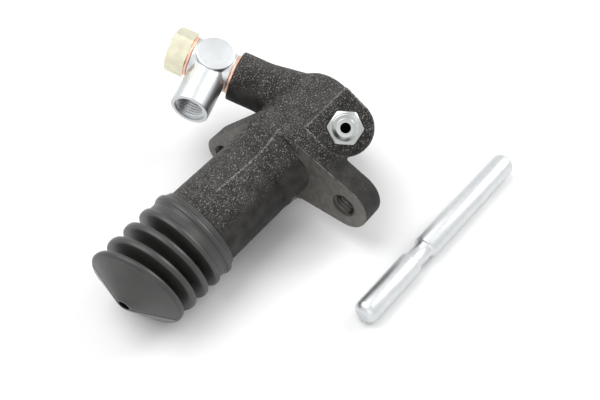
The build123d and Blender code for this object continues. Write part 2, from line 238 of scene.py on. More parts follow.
def combine(obj, tool, operation, solver="EXACT"):
    modifier = obj.modifiers.new(operation, "BOOLEAN")
    modifier.operation = operation
    modifier.solver = solver
    modifier.object = tool
    modifier.material_mode = "TRANSFER"
    bakeModifiers(obj)
    bpy.data.objects.remove(tool)


def turnedTool(obj, profile, place, material, operation, segments=96, solver="EXACT"):
    # joins a turned form to the piece, or cuts it out
    tool = meshObject("tool", placed(turnedMesh(profile, segments), place), material)
    combine(obj, tool, operation, solver)


# materials

def newMaterial(name, settings):
    material = bpy.data.materials.new(name)
    material.use_nodes = True
    shader = material.node_tree.nodes["Principled BSDF"]
    for socket, value in settings.items():
        shader.inputs[socket].default_value = value
    return material, material.node_tree, shader


def addNode(tree, kind, **values):
    node = tree.nodes.new(kind)
    for key, value in values.items():
        if key in node.inputs:
            node.inputs[key].default_value = value
        else:
            setattr(node, key, value)
    return node


def colourRamp(tree, source, stops):
    # two stops, each a position and a colour
    ramp = tree.nodes.new("ShaderNodeValToRGB")
    for element, (position, colour) in zip(ramp.color_ramp.elements, stops):
        element.position = position
        element.color = (*colour, 1)
    tree.links.new(source, ramp.inputs["Fac"])
    return ramp.outputs["Color"]


def addBump(tree, shader, height, strength, distance):
    bump = addNode(tree, "ShaderNodeBump", Strength=strength, Distance=distance)
    tree.links.new(height, bump.inputs["Height"])
    tree.links.new(bump.outputs["Normal"], shader.inputs["Normal"])


def objectCoordinates(tree):
    return tree.nodes.new("ShaderNodeTexCoord").outputs["Object"]


castSettings = {
    "grainScale": 2300,
    "patchScale": 260,
    "pitScale": 900,
    "dark": (0.010, 0.0094, 0.0088),
    "mid": (0.034, 0.032, 0.030),
    # painted highlight: the light speck colour stands for light glinting on the grain
    "glintSpeck": (0.33, 0.31, 0.285),
    # the parting line's colour, also used for the painted highlight along the bleeder's pad
    "line": (0.33, 0.315, 0.30),
    "groundStops": (0.35, 0.65),
    "speckStops": (0.56, 0.70),
    # painted highlight: the specks show on sides facing this way, towards the key lamp
    "glintTowards": (0.1, -0.35, 0.93),
    "glintGain": (2.2, -0.25),  # gain and offset
    "lineAngle": 76.0,
    "lineDrift": 2.6,  # radians a metre along the bore
    "lineWidth": 0.032,
    "lineFrom": -0.002,
    "lineTo": 0.028,
    "lineFade": 400.0,
    "lineBreaks": (5.0, -2.1),
    "padReach": 0.0088,
    "padEdge": 0.00032,
    "padFlat": 1.4,
    "padTop": -0.0011,
    "padHighlightShare": (0.6, 0.25),
    # painted shade under the bleeder's pad, as limits: axis, start and slope
    "padShadeBox": [("X", -0.0105, 600.0), ("Y", 0.0120, 500.0), ("Z", 0.0145, -500.0)],
    "padShadeShare": 0.85,
    "roughness": 0.62,
    "gloss": 0.28,
    "bump": (0.9, 0.00022),  # strength and distance
}


def feed(tree, target, value):
    # links another node's socket to the target, or sets a plain value
    if hasattr(value, "is_output"):
        tree.links.new(value, target)
    else:
        target.default_value = value


def mathNode(tree, operation, *values, clamp=False):
    node = addNode(tree, "ShaderNodeMath", operation=operation, use_clamp=clamp)
    for target, value in zip(node.inputs, values):
        feed(tree, target, value)
    return node.outputs["Value"]


def product(tree, a, b):
    return mathNode(tree, "MULTIPLY", a, b)


def scaled(tree, value, gain, offset):
    # gain and offset, held between 0 and 1
    return mathNode(tree, "MULTIPLY_ADD", value, gain, offset, clamp=True)


def stepFrom(tree, value, start, slope):
    # rises from 0 at the start, or falls to it where the slope is negative
    return scaled(tree, value, slope, -slope * start)


def splitAxes(tree, place):
    split = tree.nodes.new("ShaderNodeSeparateXYZ")
    tree.links.new(place, split.inputs["Vector"])
    return [split.outputs[axis] for axis in "XYZ"]


def seenFrom(tree, place, pose):
    # the coordinates from another place on the object
    inverse = pose.inverted()
    mapping = addNode(
        tree, "ShaderNodeMapping", Location=inverse.translation, Rotation=inverse.to_euler()
    )
    tree.links.new(place, mapping.inputs["Vector"])
    return mapping.outputs["Vector"]


def layered(tree, tone, layers):
    # each layer is a share and the colour that covers the tone by that share
    for share, colour in layers:
        mix = addNode(tree, "ShaderNodeMixRGB", Color2=(*colour, 1))
        tree.links.new(share, mix.inputs["Fac"])
        tree.links.new(tone, mix.inputs["Color1"])
        tone = mix.outputs["Color"]
    return tone


def noiseOver(tree, place, scale, detail, **values):
    grain = addNode(tree, "ShaderNodeTexNoise", Scale=scale, Detail=detail, **values)
    tree.links.new(place, grain.inputs["Vector"])
    return grain.outputs["Fac"]


def glintFacing(tree):
    # painted highlight: light glints on the grain of the sides facing up towards the key lamp; the lower
    # right sides, facing away from it, get none
    surface = tree.nodes.new("ShaderNodeNewGeometry")
    facing = addNode(tree, "ShaderNodeVectorMath", operation="DOT_PRODUCT")
    facing.inputs[1].default_value = castSettings["glintTowards"]
    tree.links.new(surface.outputs["Normal"], facing.inputs[0])
    return scaled(tree, facing.outputs["Value"], *castSettings["glintGain"])


def padShadeMask(tree, place):
    # painted shade: the right ear's side under the bleeder's pad, where the pad shades it, loses its glint
    # specks
    axes = dict(zip("XYZ", splitAxes(tree, place)))
    share = 1.0
    for axis, start, slope in castSettings["padShadeBox"]:
        share = product(tree, stepFrom(tree, axes[axis], start, slope), share)
    return share


def partingLine(tree, place):
    # the line of the mould's joint along the barrel
    s = castSettings
    x, y, z = splitAxes(tree, place)
    drift = mathNode(tree, "MULTIPLY_ADD", x, s["lineDrift"], radians(s["lineAngle"]))
    angle = mathNode(tree, "ARCTAN2", z, y)
    off = mathNode(tree, "ABSOLUTE", mathNode(tree, "SUBTRACT", angle, drift))
    start = stepFrom(tree, x, s["lineFrom"], s["lineFade"])
    end = stepFrom(tree, x, s["lineTo"], -s["lineFade"])
    return product(tree, scaled(tree, off, -1 / s["lineWidth"], 1.0), product(tree, start, end))


def padEdge(tree, place):
    # painted highlight along the edge of the bleeder's pad, square towards the barrel and round outside
    s = castSettings
    x, y, z = splitAxes(tree, seenFrom(tree, place, bleederSeat))
    square = mathNode(tree, "MAXIMUM", mathNode(tree, "ABSOLUTE", x), product(tree, y, -1.0))
    squared = mathNode(tree, "MULTIPLY_ADD", x, x, product(tree, y, y))
    inner = mathNode(tree, "LESS_THAN", y, 0.0)
    outer = mathNode(tree, "SUBTRACT", 1.0, inner)
    curved = product(tree, mathNode(tree, "SQRT", squared), outer)
    reach = mathNode(tree, "MULTIPLY_ADD", square, inner, curved)
    off = mathNode(tree, "ABSOLUTE", mathNode(tree, "SUBTRACT", reach, s["padReach"]))
    near = scaled(tree, off, -1 / s["padEdge"], s["padFlat"])
    top = mathNode(tree, "GREATER_THAN", z, s["padTop"])
    highlightShare = mathNode(tree, "MULTIPLY_ADD", inner, *s["padHighlightShare"])
    return product(tree, product(tree, near, top), highlightShare)


def makeCastIron():
    s = castSettings
    material, tree, shader = newMaterial(
        "castIron", {"Roughness": s["roughness"], "Specular IOR Level": s["gloss"]}
    )
    place = objectCoordinates(tree)
    grain = noiseOver(tree, place, s["grainScale"], 2.0, Roughness=0.6)
    patch = noiseOver(tree, place, s["patchScale"], 3.0)
    pits = noiseOver(tree, place, s["pitScale"], 4.0, Roughness=0.7)
    ground = colourRamp(tree, patch, zip(s["groundStops"], (s["dark"], s["mid"])))
    specks = colourRamp(tree, grain, zip(s["speckStops"], ((0, 0, 0), (1, 1, 1))))
    # painted shade: no glint specks where the bleeder's pad shades the right ear
    outsidePadShade = mathNode(tree, "MULTIPLY_ADD", padShadeMask(tree, place), -s["padShadeShare"], 1.0)
    # painted highlight: grain glints only on sides that face the key lamp
    glintSpecks = product(tree, specks, product(tree, glintFacing(tree), outsidePadShade))
    # the parting line, and the painted highlight along the bleeder pad's edge
    lines = mathNode(tree, "MAXIMUM", partingLine(tree, place), padEdge(tree, place))
    broken = product(tree, lines, scaled(tree, grain, *s["lineBreaks"]))
    tone = layered(tree, ground, [(glintSpecks, s["glintSpeck"]), (broken, s["line"])])
    tree.links.new(tone, shader.inputs["Base Color"])
    addBump(tree, shader, mathNode(tree, "ADD", grain, pits), *s["bump"])
    return material


milledSettings = {
    "cloudScale": 420,
    "deep": (0.105, 0.097, 0.087),
    "pale": (0.175, 0.165, 0.150),
    "edgeAcross": (0.342, 0.940),  # how y and z add up to the distance of the ear's upper edge
    "edgeFrom": 0.01965,
    "edgeFade": 4000.0,
    "edgeBreaks": (4.0, -1.4),
    "edgeColour": (0.42, 0.40, 0.37),
    "ringScale": 900,
    "ringWander": 0.6,
    "bump": (0.12, 0.00004),
}


def makeMilledIron():
    s = milledSettings
    material, tree, shader = newMaterial("milledIron", {"Metallic": 0.35, "Roughness": 0.42})
    place = objectCoordinates(tree)
    cloud = noiseOver(tree, place, s["cloudScale"], 4.0)
    tone = colourRamp(tree, cloud, [(0.3, s["deep"]), (0.7, s["pale"])])
    # the ear's upper edge is lighter, in broken patches
    _, y, z = splitAxes(tree, place)
    acrossY, acrossZ = s["edgeAcross"]
    reach = mathNode(tree, "MULTIPLY_ADD", y, acrossY, product(tree, z, acrossZ))
    edge = stepFrom(tree, reach, s["edgeFrom"], s["edgeFade"])
    lighterEdge = product(tree, edge, scaled(tree, cloud, *s["edgeBreaks"]))
    tree.links.new(layered(tree, tone, [(lighterEdge, s["edgeColour"])]), shader.inputs["Base Color"])
    # rings of the cutter about the right ear's hole
    rings = addNode(
        tree, "ShaderNodeTexWave",
        Scale=s["ringScale"], Distortion=s["ringWander"], wave_type="RINGS", rings_direction="X",
    )
    tree.links.new(seenFrom(tree, place, earHole("right")), rings.inputs["Vector"])
    addBump(tree, shader, rings.outputs["Fac"], *s["bump"])
    return material


rubberSettings = {
    "bloomScale": 150,
    "deep": (0.024, 0.024, 0.023),
    "pale": (0.040, 0.040, 0.038),
    "fineScale": 3200,
    "gloss": 0.55,
    "bump": (0.12, 0.00005),
}
coneMarks = {
    "place": (61.05, 8.0, 5.0),  # x, and the lean sideways and down in degrees
    "slope": 0.37,
    "kink": 0.16,
    "seamHalf": 0.00036,
    "holeEdge": 0.00194,
    "front": (2500.0, -1.5),
    "roughness": 0.40,
    "seamRough": 0.55,
    # painted reflection: the cone's lower half, lit by the white floor under it
    "pale": (0.15, 0.15, 0.144),
    # the seam's dark joint, and the painted shade in the cone's hole and the bleeder's drill
    "dark": (0.006, 0.006, 0.006),
}


def coneTone(tree, place, tone):
    # the cone's mould seam; the paler half under it, a painted reflection of the white floor; and the
    # hole, near black as painted shade
    m = coneMarks
    at, sideways, down = m["place"]
    lean = Matrix.Rotation(radians(sideways), 4, "Z") @ Matrix.Rotation(radians(down), 4, "Y")
    pose = Matrix.Translation((at * mm, 0, 0)) @ lean
    x, y, z = splitAxes(tree, seenFrom(tree, place, pose))
    side = mathNode(tree, "MULTIPLY_ADD", y, m["slope"], z)
    side = mathNode(tree, "MULTIPLY_ADD", mathNode(tree, "ABSOLUTE", y), m["kink"], side)
    front = scaled(tree, x, *m["front"])
    # painted reflection of the floor on the cone's lower half
    below = product(tree, mathNode(tree, "LESS_THAN", side, 0.0), front)
    onSeam = mathNode(tree, "LESS_THAN", mathNode(tree, "ABSOLUTE", side), m["seamHalf"])
    onSeam = product(tree, onSeam, front)
    around = mathNode(tree, "MULTIPLY_ADD", z, z, product(tree, y, y))
    # painted shade inside the cone's hole
    holeShade = mathNode(tree, "LESS_THAN", around, m["holeEdge"] ** 2)
    rough = mathNode(tree, "MULTIPLY_ADD", onSeam, m["seamRough"], m["roughness"])
    tone = layered(tree, tone, [(below, m["pale"]), (onSeam, m["dark"]), (holeShade, m["dark"])])
    return tone, rough


def makeRubber():
    s = rubberSettings
    material, tree, shader = newMaterial("bootRubber", {"Specular IOR Level": s["gloss"]})
    place = objectCoordinates(tree)
    bloom = noiseOver(tree, place, s["bloomScale"], 4.0)
    tone = colourRamp(tree, bloom, [(0.3, s["deep"]), (0.75, s["pale"])])
    tone, rough = coneTone(tree, place, tone)
    tree.links.new(tone, shader.inputs["Base Color"])
    tree.links.new(rough, shader.inputs["Roughness"])
    addBump(tree, shader, noiseOver(tree, place, s["fineScale"], 2.0), *s["bump"])
    return material


platedSettings = {
    "cloudScale": 380,
    "cloudStops": (0.3, 0.7),
    "fineScale": 1800,
    "bump": (0.05, 0.00003),
}


def makePlated(name, colour, roughness, clouding):
    # plated or bare bright metal, with faint clouding of the colour
    s = platedSettings
    material, tree, shader = newMaterial(name, {"Metallic": 1.0, "Roughness": roughness})
    place = objectCoordinates(tree)
    pale = tuple(min(1, c * (1 + clouding)) for c in colour)
    deep = tuple(c * (1 - clouding) for c in colour)
    cloud = noiseOver(tree, place, s["cloudScale"], 3.0)
    tone = colourRamp(tree, cloud, zip(s["cloudStops"], (deep, pale)))
    tree.links.new(tone, shader.inputs["Base Color"])
    addBump(tree, shader, noiseOver(tree, place, s["fineScale"], 3.0), *s["bump"])
    return material


castIron = makeCastIron()
milledIron = makeMilledIron()
bootRubber = makeRubber()
brightZinc = makePlated("brightZinc", (0.62, 0.64, 0.65), 0.36, 0.05)
yellowZinc = makePlated("yellowZinc", (0.74, 0.71, 0.55), 0.30, 0.10)
bleederZinc = makePlated("bleederZinc", (0.44, 0.46, 0.45), 0.30, 0.05)
# partly painted shade: the tapped iron of the ear threads, made darker than bare iron for the shade inside
# the holes
shadeDarkTappedIron = makePlated("shadeDarkTappedIron", (0.10, 0.095, 0.088), 0.35, 0.10)
# painted shade: the bleeder's drilled hole is lined near black
drillShade = newMaterial("drillShade", {"Base Color": (*coneMarks["dark"], 1), "Roughness": 0.7})[0]
softCopper = makePlated("softCopper", (0.86, 0.52, 0.40), 0.36, 0.08)
pistonAlloy = makePlated("pistonAlloy", (0.70, 0.70, 0.71), 0.35, 0.04)
springSteel = makePlated("springSteel", (0.40, 0.40, 0.41), 0.32, 0.05)
print("materials made")


# geometry nodes

class FormTree:
    # a small geometry node tree: a tube whose points are moved by a rule
    def __init__(self, name, inputs):
        self.tree = bpy.data.node_groups.new(name, "GeometryNodeTree")
        face = self.tree.interface
        face.new_socket("Geometry", in_out="OUTPUT", socket_type="NodeSocketGeometry")
        self.ids = {}
        for label, (kind, value) in inputs.items():
            socket = face.new_socket(label, in_out="INPUT", socket_type="NodeSocket" + kind)
            if value is not None:
                socket.default_value = value
            self.ids[label] = socket.identifier
        self.start = self.tree.nodes.new("NodeGroupInput")
        self.end = self.tree.nodes.new("NodeGroupOutput")

    def given(self, label):
        return self.start.outputs[label]

    def math(self, operation, *values):
        return mathNode(self.tree, operation, *values)

    def plus(self, a, b):
        return self.math("ADD", a, b)

    def minus(self, a, b):
        return self.math("SUBTRACT", a, b)

    def times(self, a, b):
        return self.math("MULTIPLY", a, b)

    def choose(self, flag, yes, no):
        # yes where the flag is 1, no where it is 0
        return self.plus(self.times(flag, yes), self.times(self.minus(1.0, flag), no))

    def spin(self, a, b, angle):
        # the pair (a, b) turned by the angle
        c = self.math("COSINE", angle)
        s = self.math("SINE", angle)
        return (
            self.minus(self.times(a, c), self.times(b, s)),
            self.plus(self.times(a, s), self.times(b, c)),
        )

    def round(self, angle, radius):
        # across and up, of a point at the angle
        return self.times(self.math("COSINE", angle), radius), self.times(self.math("SINE", angle), radius)

    def ease(self, value, low, high, atLow, atHigh, kind="SMOOTHSTEP"):
        node = addNode(self.tree, "ShaderNodeMapRange", interpolation_type=kind)
        labels = ("Value", "From Min", "From Max", "To Min", "To Max")
        for label, item in zip(labels, (value, low, high, atLow, atHigh)):
            feed(self.tree, node.inputs[label], item)
        return node.outputs["Result"]

    def vector(self, *parts):
        node = self.tree.nodes.new("ShaderNodeCombineXYZ")
        for target, value in zip(node.inputs, parts):
            feed(self.tree, target, value)
        return node.outputs["Vector"]

    def tube(self, around, along):
        # unit tube: gives its geometry, its angle and its height from 0 to 1
        shape = addNode(self.tree, "GeometryNodeMeshCylinder", fill_type="NONE", Radius=1.0, Depth=1.0)
        feed(self.tree, shape.inputs["Vertices"], around)
        feed(self.tree, shape.inputs["Side Segments"], along)
        x, y, z = splitAxes(self.tree, self.tree.nodes.new("GeometryNodeInputPosition").outputs[0])
        return shape.outputs["Mesh"], self.math("ARCTAN2", y, x), self.plus(z, 0.5)

    def finish(self, geometry, position):
        move = self.tree.nodes.new("GeometryNodeSetPosition")
        real = self.tree.nodes.new("GeometryNodeRealizeInstances")
        coat = self.tree.nodes.new("GeometryNodeSetMaterial")
        for source, target in (
            (geometry, move.inputs["Geometry"]),
            (position, move.inputs["Position"]),
            (move.outputs["Geometry"], real.inputs["Geometry"]),
            (real.outputs["Geometry"], coat.inputs["Geometry"]),
            (self.given("Material"), coat.inputs["Material"]),
            (coat.outputs["Geometry"], self.end.inputs["Geometry"]),
        ):
            self.tree.links.new(source, target)

    def grow(self, name, **values):
        # a plain mesh object from the tree
        mesh = bpy.data.meshes.new(name)
        obj = bpy.data.objects.new(name, mesh)
        scene.collection.objects.link(obj)
        modifier = obj.modifiers.new("form", "NODES")
        modifier.node_group = self.tree
        for label, value in values.items():
            modifier[self.ids[label]] = value
        bakeModifiers(obj)
        return obj


threadShape = {
    "around": 72,
    "rowsPerTurn": 10,
    "flank": (0.06, 0.42),  # where the flank starts and ends, in pitches from the root
}


def makeThreadTree():
    form = FormTree("threadForm", {
        "Minor": ("Float", 0.003),
        "Depth": ("Float", 0.0006),
        "Pitch": ("Float", 0.001),
        "Length": ("Float", 0.01),
        "Rows": ("Int", 64),
        "Material": ("Material", None),
    })
    shape, angle, height = form.tube(threadShape["around"], form.given("Rows"))
    z = form.times(height, form.given("Length"))
    turns = form.math("DIVIDE", z, form.given("Pitch"))
    phase = form.minus(turns, form.math("DIVIDE", angle, 2 * pi))
    wave = form.math("PINGPONG", phase, 0.5)
    crest = form.ease(wave, *threadShape["flank"], 0.0, 1.0, "LINEAR")
    radius = form.math("MULTIPLY_ADD", crest, form.given("Depth"), form.given("Minor"))
    form.finish(shape, form.vector(*form.round(angle, radius), form.times(z, -1.0)))
    return form


threadForm = makeThreadTree()


def threadedSleeve(name, place, thread, material):
    # the wall of a threaded hole: thread inside, plain outside, mouth at the place
    minor, depth, pitch, length, wall = thread
    obj = threadForm.grow(
        name, Minor=minor * mm, Depth=depth * mm, Pitch=pitch * mm, Length=length * mm,
        Rows=int(length / pitch * threadShape["rowsPerTurn"]), Material=material,
    )
    bm = bmesh.new()
    bm.from_mesh(obj.data)
    for level in (0, -length * mm):
        rim = [
            edge for edge in bm.edges
            if edge.is_boundary and all(abs(v.co.z - level) < nearAxis for v in edge.verts)
        ]
        grown = bmesh.ops.extrude_edge_only(bm, edges=rim)["geom"]
        for v in (g for g in grown if isinstance(g, bmesh.types.BMVert)):
            flat = Vector((v.co.x, v.co.y)).normalized() * (minor + depth + wall) * mm
            v.co = (flat.x, flat.y, level)
    rims = [edge for edge in bm.edges if edge.is_boundary]
    bmesh.ops.bridge_loops(bm, edges=rims)
    outwards(bm)
    placed(bm, place)
    bm.to_mesh(obj.data)
    bm.free()
    shadeByAngle(obj, 50)
    return obj


# boot

boot = {
    "lipX": 33.2,
    "lipRadius": 14.2,
    "collarRadius": 15.1,
    "stepWidth": 0.8,
    "firstFold": 9.4,
    "foldPitch": 6.15,
    "foldCount": 4,
    "crestRadius": 15.6,
    "rootRadius": 10.9,
    "crestHalf": 1.0,
    "flankEnd": 2.55,
    "tipReach": 6.7,
    "tipRadius": 2.5,
    "holeRadius": 1.8,
    "wall": 1.0,
    "leanSideways": (-7.0, 8.5),  # degrees at the lip and at the last fold
    "leanDown": (10.0, 5.0),
    "seamAngles": (-28.0, 168.0),
    "seamDepth": 0.28,
    "seamWidth": 2.6,  # degrees
    "around": 144,
    "rows": 230,
    # mm lost for each square mm away from a crest, on the folds and on the cone's crown
    "crestFall": 0.22,
    "crownFall": 0.65,
    "stepRise": 0.32,
    "stepsEnd": (4.6, 5.6),
    "stepsDip": 0.35,
    "collarLap": 0.2,
    "coneStart": 1.0,
    "coneShoulder": 0.9,
}


def makeBootTree():
    b = boot
    form = FormTree("bootForm", {
        "Fold Pitch": ("Float", b["foldPitch"] * mm),
        "Crest": ("Float", b["crestRadius"] * mm),
        "Root": ("Float", b["rootRadius"] * mm),
        "Material": ("Material", None),
    })
    lastFold = b["firstFold"] + b["foldPitch"] * (b["foldCount"] - 1)
    tipAt = lastFold + b["tipReach"]
    total = tipAt + b["tipRadius"] - b["holeRadius"]
    shape, angle, height = form.tube(b["around"], b["rows"])
    path = form.times(height, total * mm)
    along = form.math("MINIMUM", path, tipAt * mm)
    # folds: distance to the nearest crest
    pitch, crest, root = (form.given(label) for label in ("Fold Pitch", "Crest", "Root"))
    phase = form.math("DIVIDE", form.minus(along, b["firstFold"] * mm), pitch)
    share = form.math("FRACT", form.plus(phase, b["foldCount"] + 0.5))
    away = form.times(form.math("ABSOLUTE", form.minus(share, 0.5)), pitch)
    bulge = form.ease(away, b["crestHalf"] * mm, b["flankEnd"] * mm, 1.0, 0.0)
    dome = form.times(form.times(away, away), b["crestFall"] / mm)
    foldHeight = form.minus(crest, root)
    folds = form.minus(form.math("MULTIPLY_ADD", bulge, foldHeight, root), dome)
    # collar with its steps, before the first fold
    step = form.math("FLOOR", form.math("DIVIDE", along, b["stepWidth"] * mm))
    highest = (b["collarRadius"] - b["lipRadius"]) * mm
    rise = form.math("MINIMUM", form.times(step, b["stepRise"] * mm), highest)
    dipFrom, dipTo = b["stepsEnd"]
    dip = form.ease(along, dipFrom * mm, dipTo * mm, 0.0, b["stepsDip"] * mm)
    collar = form.minus(form.plus(rise, b["lipRadius"] * mm), dip)
    inCollar = form.math("LESS_THAN", along, (b["firstFold"] - b["collarLap"]) * mm)
    body = form.choose(inCollar, form.math("MAXIMUM", collar, folds), folds)
    # cone to the tip
    intoCone = form.minus(along, lastFold * mm)
    shoulder = (b["crestRadius"] - b["coneShoulder"]) * mm
    cone = form.ease(
        intoCone, b["coneStart"] * mm, b["tipReach"] * mm, shoulder, b["tipRadius"] * mm, "LINEAR"
    )
    crown = form.minus(crest, form.times(form.times(intoCone, intoCone), b["crownFall"] / mm))
    capped = form.math("MINIMUM", form.math("MAXIMUM", cone, 0.0), form.math("MAXIMUM", crown, cone))
    early = form.math("LESS_THAN", intoCone, b["coneStart"] * mm)
    inCone = form.math("GREATER_THAN", intoCone, 0.0)
    radius = form.choose(inCone, form.choose(early, crown, capped), body)
    pastTip = form.math("MAXIMUM", form.minus(path, tipAt * mm), 0.0)
    radius = form.minus(radius, pastTip)
    # mould seam on the cone
    for seam in b["seamAngles"]:
        seamAt = radians((seam + 180) % 360 - 180)
        gap = form.math("ABSOLUTE", form.minus(angle, seamAt))
        groove = form.ease(gap, 0.0, radians(b["seamWidth"]), b["seamDepth"] * mm, 0.0)
        radius = form.minus(radius, form.times(groove, inCone))
    # each section leans about its own centre, about y by nod, then about z by turn
    nod, turn = (
        form.ease(along, 0.0, lastFold * mm, *(radians(a) for a in b[lean]), "LINEAR")
        for lean in ("leanDown", "leanSideways")
    )
    y, z = form.round(angle, radius)
    z, x = form.spin(z, form.math("MAXIMUM", intoCone, 0.0), nod)
    x, y = form.spin(x, y, turn)
    centre = form.math("MINIMUM", along, lastFold * mm)
    x = form.plus(form.plus(x, centre), b["lipX"] * mm)
    form.finish(shape, form.vector(x, y, z))
    return form


def buildBoot():
    obj = makeBootTree().grow("bellowsBoot", Material=bootRubber)
    wall = obj.modifiers.new("wall", "SOLIDIFY")
    wall.thickness = boot["wall"] * mm
    wall.offset = -1
    bakeModifiers(obj)
    bm = bmesh.new()
    bm.from_mesh(obj.data)
    outwards(bm).to_mesh(obj.data)
    bm.free()
    shadeByAngle(obj, 55)
    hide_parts("boot")
    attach(obj, "housing")
    print("boot:", len(obj.data.polygons), "faces")


buildBoot()


# casting

casting = {
    "voxel": 0.55,
    "smoothRounds": 4,
    "grain": 0.05,
    "grainSize": 1.1,
    "millRise": 1.3,
    "rightRoot": [(8.5, 6.0, 9.2)],  # y, z and radius beside the barrel, left by the cutter
    "leftRoot": [],
    "rightEdge": 12.4,
    "leftEdge": -6.8,
    "markStep": 0.8,
    "markDepth": 0.28,
    "marks": 3,
    "partingFrom": 0.0,
    "partingTo": 29.0,
    "partingAngle": 78.0,
    "partingHeight": 0.16,
    "partingWidth": 0.35,
    "partingWave": 0.35,
    "partingReach": 1.5,
    "noseFrom": 32.5,
    "trueRadius": 12.8,
    "millBlock": 50,
    "millTop": 6.0,
    "nearEdge": 0.05,
    "rootRoom": 0.15,
    "rootSteps": 96,
    "hullSteps": 72,
    "drill": (-12, 4),
    "holeRadius": 4.25,
    "bodyRadius": 13.65,
    "boreRadius": 9.535,
    "boreFoot": -31.2,
    "boreMouth": 41.0,
    "boreWidened": 0.9,
    "boreMouthSteps": (-0.8, 0.1, 2),  # from the mouth: the chamfer's start and end, and the tool's end
}
ears = {
    "right": ((30.2, 1.2, 8.6), (6.0, 10.0, 8.8), (6.0, -1.2, 6.0)),
    "left": ((-18.9, -8.1, 7.4), (-3.0, 7.2, 8.4), (-3.0, -4.0, 8.0)),
    "thickness": 8.5,
}


def hullPrism(circles, low, high):
    # a prism along the bore over the outline that the circles hold
    points = []
    steps = casting["hullSteps"]
    for y, z, r in circles:
        for i in range(steps):
            a = 2 * pi * i / steps
            points.append((y + r * cos(a), z + r * sin(a)))
    bm = bmesh.new()
    for x in (low, high):
        for y, z in points:
            bm.verts.new((x * mm, y * mm, z * mm))
    result = bmesh.ops.convex_hull(bm, input=bm.verts)
    spare = [g for g in result["geom_interior"] if isinstance(g, bmesh.types.BMVert)]
    bmesh.ops.delete(bm, geom=spare, context="VERTS")
    return outwards(bm)


def rootOutline(side, step):
    # the root that the cutter goes round, as points about the bore axis
    circles = [(0, 0, casting["bodyRadius"] + casting["rootRoom"])] + casting[side + "Root"]
    points = []
    for i in range(casting["rootSteps"]):
        a = 2 * pi * i / casting["rootSteps"]
        reach = 0
        for y, z, r in circles:
            along = y * cos(a) + z * sin(a)
            inside = r * r - (y * y + z * z - along * along)
            if inside > 0:
                reach = max(reach, along + sqrt(inside))
        reach += step
        points.append((reach * cos(a), reach * sin(a)))
    return points


def millCutter(side, depth, step):
    # what the face mill takes off one ear, outside the root that it goes round
    edge = casting[side + "Edge"]
    sign = 1 if side == "right" else -1
    beyond = sign * edge + casting["nearEdge"]
    arc = [p for p in rootOutline(side, step) if sign * p[0] > beyond]
    arc.sort(key=lambda p: -p[1])
    far = casting["millBlock"]
    reach = far + step
    outline = [(edge, -reach), (sign * far, -reach), (sign * far, reach), (edge, reach)]
    outline += [(edge, arc[0][1])] + arc + [(edge, arc[-1][1])]
    bm = bmesh.new()
    lower, upper = (
        [bm.verts.new((level * mm, y * mm, z * mm)) for y, z in outline]
        for level in (depth, casting["millTop"])
    )
    joinRings(bm, lower, upper)
    bm.faces.new(lower)
    bm.faces.new(upper[::-1])
    bmesh.ops.triangulate(bm, faces=bm.faces)
    return outwards(bm)


def roughenCasting(obj):
    # sand-cast grain and the parting line; the bore and its nose stay true
    c = casting
    mesh = obj.data
    a = radians(c["partingAngle"])
    parting = Vector((cos(a), sin(a)))
    for vertex, normal in zip(mesh.vertices, [v.normal.copy() for v in mesh.vertices]):
        p = vertex.co / mm
        section = Vector((p.y, p.z))
        radial = section.length
        if p.x > c["noseFrom"] or (radial < c["trueRadius"] and abs(normal.x) < 0.5):
            continue
        lift = c["grain"] * noise.fractal(p / c["grainSize"], 1.0, 2.0, 3)
        nearBarrel = radial < c["bodyRadius"] + c["partingReach"]
        if nearBarrel and c["partingFrom"] < p.x < c["partingTo"]:
            across = abs(section.angle_signed(parting)) * radial
            wobble = 0.5 + 0.5 * noise.noise(Vector((p.x * c["partingWave"], 4, 0)))
            lift += c["partingHeight"] * wobble * max(0, 1 - across / c["partingWidth"])
        vertex.co += normal * lift * mm


def buildCasting():
    c = casting
    bm = cadCopy("cylinder_body")
    # the ears are cast proud of the milled face
    for side in ("right", "left"):
        extra = hullPrism(ears[side], -ears["thickness"] / 2, c["millRise"])
        spare = bpy.data.meshes.new("spare")
        extra.to_mesh(spare)
        extra.free()
        bm.from_mesh(spare)
        bpy.data.meshes.remove(spare)
    obj = meshObject("castBody", bm, castIron)
    remesh = obj.modifiers.new("skin", "REMESH")
    remesh.mode = "VOXEL"
    remesh.voxel_size = c["voxel"] * mm
    smooth = obj.modifiers.new("soften", "SMOOTH")
    smooth.iterations = c["smoothRounds"]
    smooth.factor = 0.5
    bakeModifiers(obj)
    roughenCasting(obj)
    obj.data.materials.clear()
    obj.data.materials.append(castIron)
    print("casting skin:", len(obj.data.polygons), "faces")
    # the marks of the cutter's rim show round the right ear's root only
    for side, mark in [("right", mark) for mark in range(c["marks"])] + [("left", 0)]:
        above = c["marks"] - 1 - mark if side == "right" else 0
        cutter = millCutter(side, c["markDepth"] * above, c["markStep"] * mark)
        combine(obj, meshObject("mill", cutter, milledIron), "DIFFERENCE", "MANIFOLD")
    widened = c["boreRadius"] + c["boreWidened"]
    chamferFrom, chamferTo, boreEnd = (c["boreMouth"] + step for step in c["boreMouthSteps"])
    bore = [
        (0, c["boreFoot"]),
        (c["boreRadius"], c["boreFoot"]),
        (c["boreRadius"], chamferFrom),
        (widened, chamferTo),
        (widened, boreEnd),
        (0, boreEnd),
    ]
    turnedTool(obj, bore, boreLine, milledIron, "DIFFERENCE", 160, "MANIFOLD")
    for side in ("right", "left"):
        drill = pillar(c["holeRadius"], *c["drill"])
        turnedTool(obj, drill, earHole(side) @ boreLine, milledIron, "DIFFERENCE", 72, "MANIFOLD")
    shadeByAngle(obj, 32)
    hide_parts("cylinder_body")
    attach(obj, "housing")
    print("casting cut:", len(obj.data.polygons), "faces", [m.name for m in obj.data.materials])


buildCasting()

